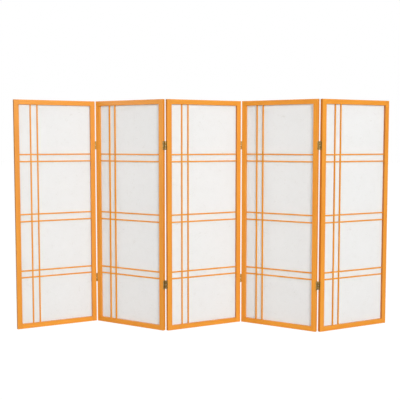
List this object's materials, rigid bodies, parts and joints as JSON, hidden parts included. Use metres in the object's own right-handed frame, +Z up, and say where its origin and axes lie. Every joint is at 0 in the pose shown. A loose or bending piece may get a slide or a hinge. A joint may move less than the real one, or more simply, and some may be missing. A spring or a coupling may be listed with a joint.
{
  "type": "folding room divider",
  "caption": "Free-standing wooden folding screen with framed lattice panels backed with white paper, joined by two-way hinges and standing in a zigzag.",
  "frame": {"origin": "on the floor under the centre of the middle panel, which is also the centre of the footprint at rest", "axes": "+X along the zigzag's middle line, to the right as seen from the front; +Y to the rear (the paper side); +Z up"},
  "size_m": [1.9988, 0.2454, 1.2192],
  "materials": {
    "frame_wood": "satin",
    "lattice_wood": "satin",
    "dowel_wood": "matte",
    "paper": "matte",
    "hinge_metal": "satin",
    "screw_metal": "satin",
    "pin_metal": "satin"
  },
  "bodies": {
    "panel_1": {"panel_1_left_stile": "frame_wood", "panel_1_right_stile": "frame_wood", "panel_1_rails": "frame_wood", "panel_1_vertical_bars": "lattice_wood", "panel_1_horizontal_bars": "lattice_wood", "panel_1_paper": "paper", "panel_1_beads": "frame_wood", "panel_1_dowels": "dowel_wood", "panel_1_hinge_leaves": "hinge_metal", "panel_1_hinge_screws": "screw_metal"},
    "panel_2": {"panel_2_left_stile": "frame_wood", "panel_2_right_stile": "frame_wood", "panel_2_rails": "frame_wood", "panel_2_vertical_bars": "lattice_wood", "panel_2_horizontal_bars": "lattice_wood", "panel_2_paper": "paper", "panel_2_beads": "frame_wood", "panel_2_dowels": "dowel_wood", "panel_2_hinge_leaves": "hinge_metal", "panel_2_hinge_screws": "screw_metal"},
    "panel_3": {"panel_3_left_stile": "frame_wood", "panel_3_right_stile": "frame_wood", "panel_3_rails": "frame_wood", "panel_3_vertical_bars": "lattice_wood", "panel_3_horizontal_bars": "lattice_wood", "panel_3_paper": "paper", "panel_3_beads": "frame_wood", "panel_3_dowels": "dowel_wood", "panel_3_hinge_leaves": "hinge_metal", "panel_3_hinge_screws": "screw_metal"},
    "panel_4": {"panel_4_left_stile": "frame_wood", "panel_4_right_stile": "frame_wood", "panel_4_rails": "frame_wood", "panel_4_vertical_bars": "lattice_wood", "panel_4_horizontal_bars": "lattice_wood", "panel_4_paper": "paper", "panel_4_beads": "frame_wood", "panel_4_dowels": "dowel_wood", "panel_4_hinge_leaves": "hinge_metal", "panel_4_hinge_screws": "screw_metal"},
    "panel_5": {"panel_5_left_stile": "frame_wood", "panel_5_right_stile": "frame_wood", "panel_5_rails": "frame_wood", "panel_5_vertical_bars": "lattice_wood", "panel_5_horizontal_bars": "lattice_wood", "panel_5_paper": "paper", "panel_5_beads": "frame_wood", "panel_5_dowels": "dowel_wood", "panel_5_hinge_leaves": "hinge_metal", "panel_5_hinge_screws": "screw_metal"},
    "link_12": {"hinge_12_links": "hinge_metal", "hinge_12_pins": "pin_metal"},
    "link_23": {"hinge_23_links": "hinge_metal", "hinge_23_pins": "pin_metal"},
    "link_34": {"hinge_34_links": "hinge_metal", "hinge_34_pins": "pin_metal"},
    "link_45": {"hinge_45_links": "hinge_metal", "hinge_45_pins": "pin_metal"}
  },
  "joints": [
    {"name": "hinge_34_front", "type": "hinge", "parent": "panel_3", "child": "link_34", "pos_m": [0.20046, 0.10268, 0.6096], "axis": [0, 0, -1], "range_deg": [-59.4, 120.6]},
    {"name": "hinge_34_rear", "type": "hinge", "parent": "link_34", "child": "panel_4", "pos_m": [0.21049, 0.12027, 0.6096], "axis": [0, 0, -1], "range_deg": [-180, 0]},
    {"name": "hinge_45_front", "type": "hinge", "parent": "panel_4", "child": "link_45", "pos_m": [0.59134, -0.12027, 0.6096], "axis": [0, 0, 1], "range_deg": [-180, 0]},
    {"name": "hinge_45_rear", "type": "hinge", "parent": "link_45", "child": "panel_5", "pos_m": [0.60138, -0.10268, 0.6096], "axis": [0, 0, 1], "range_deg": [-59.4, 120.6]},
    {"name": "hinge_23_rear", "type": "hinge", "parent": "panel_3", "child": "link_23", "pos_m": [-0.20046, -0.10268, 0.6096], "axis": [0, 0, -1], "range_deg": [-59.4, 120.6]},
    {"name": "hinge_23_front", "type": "hinge", "parent": "link_23", "child": "panel_2", "pos_m": [-0.21049, -0.12027, 0.6096], "axis": [0, 0, -1], "range_deg": [-180, 0]},
    {"name": "hinge_12_rear", "type": "hinge", "parent": "panel_2", "child": "link_12", "pos_m": [-0.59134, 0.12027, 0.6096], "axis": [0, 0, 1], "range_deg": [-180, 0]},
    {"name": "hinge_12_front", "type": "hinge", "parent": "link_12", "child": "panel_1", "pos_m": [-0.60138, 0.10268, 0.6096], "axis": [0, 0, 1], "range_deg": [-59.4, 120.6]}
  ]
}
